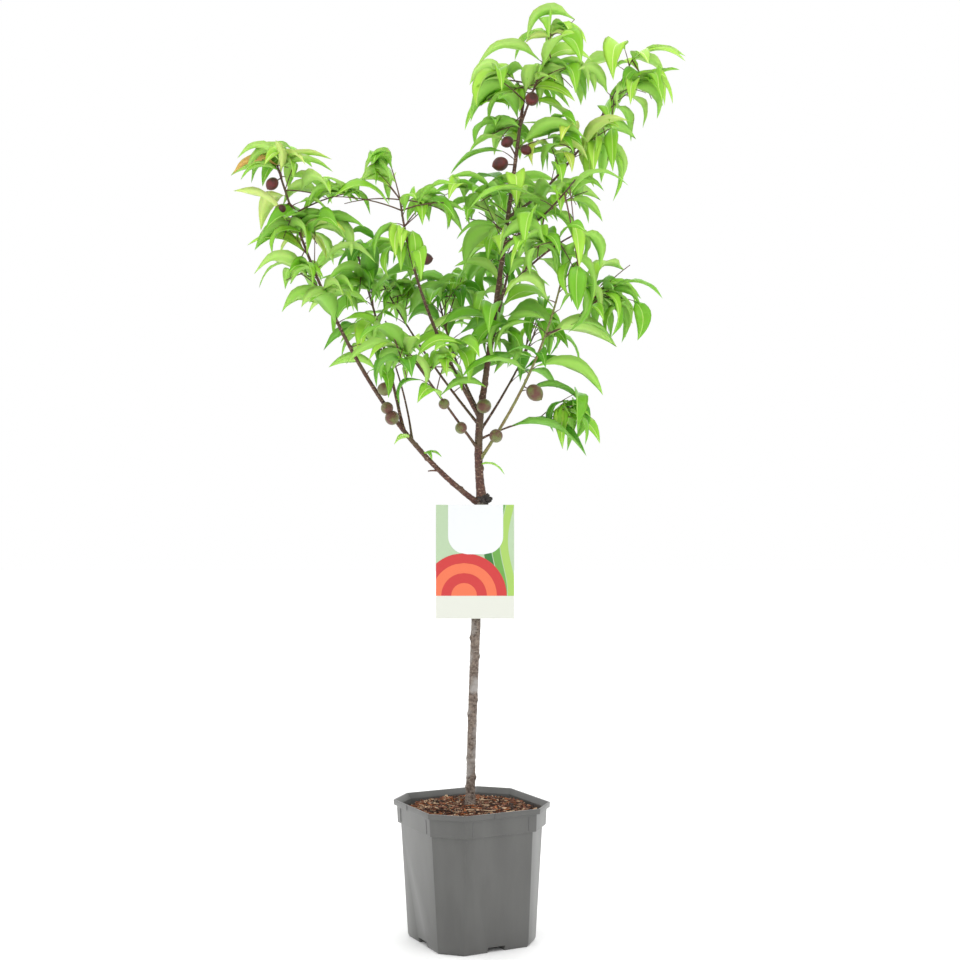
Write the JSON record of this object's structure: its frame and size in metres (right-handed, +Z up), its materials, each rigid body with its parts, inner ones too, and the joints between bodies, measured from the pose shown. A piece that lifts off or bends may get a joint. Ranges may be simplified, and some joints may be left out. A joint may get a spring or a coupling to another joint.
{
  "type": "potted nectarine tree",
  "caption": "Young nectarine tree in an octagonal nursery pot: a slim trunk forks into slender boughs with masses of arching leaves, and a flat card hangs on the trunk.",
  "frame": {"origin": "middle of the pot's flat underside, on the surface that it stands on", "axes": "+Z up along the trunk, +X to the right across the crown's broad side, +Y away from the viewer of that side"},
  "size_m": [0.642, 0.421, 1.3138],
  "materials": {
    "pot_plastic": "satin",
    "compost": "matte",
    "trunk_bark": "matte",
    "young_bark": "satin",
    "green_bark": "satin",
    "foliage": "satin",
    "card": "satin",
    "strap": "satin"
  },
  "bodies": {
    "root": {"pot": "pot_plastic", "compost": "compost", "trunk": "trunk_bark", "stem": "young_bark", "leader": "young_bark", "top_shoot": "young_bark", "left_bough": "young_bark", "left_inner_bough": "young_bark", "left_slim_bough": "young_bark", "middle_bough": "young_bark", "front_left_bough": "young_bark", "back_left_bough": "young_bark", "centre_bough": "young_bark", "back_bough": "young_bark", "low_bough": "young_bark", "back_right_bough": "young_bark", "green_side_bough": "young_bark", "right_bough": "young_bark", "front_bough": "young_bark", "front_right_bough": "young_bark", "green_bough": "green_bark", "left_tip_leaves": "foliage", "left_upper_leaves": "foliage", "left_middle_leaves": "foliage", "left_lower_leaves": "foliage", "inner_top_leaves": "foliage", "inner_middle_leaves": "foliage", "inner_lower_leaves": "foliage", "middle_top_leaves": "foliage", "middle_sweep_leaves": "foliage", "middle_right_leaves": "foliage", "middle_upper_leaves": "foliage", "back_left_leaves": "foliage", "centre_leaves": "foliage", "front_left_leaves": "foliage", "low_middle_leaves": "foliage", "top_leaves": "foliage", "upper_left_leaves": "foliage", "upper_right_leaves": "foliage", "shoulder_leaves": "foliage", "inner_right_leaves": "foliage", "right_tip_leaves": "foliage", "right_hanging_leaves": "foliage", "mid_left_leaves": "foliage", "mid_right_leaves": "foliage", "front_leaves": "foliage", "front_hanging_leaves": "foliage", "right_outer_leaves": "foliage", "lower_centre_leaves": "foliage", "lower_inner_leaves": "foliage", "lower_right_leaves": "foliage", "back_upper_leaves": "foliage", "back_lower_leaves": "foliage", "hang_card": "card", "card_strap": "strap"}
  },
  "joints": []
}
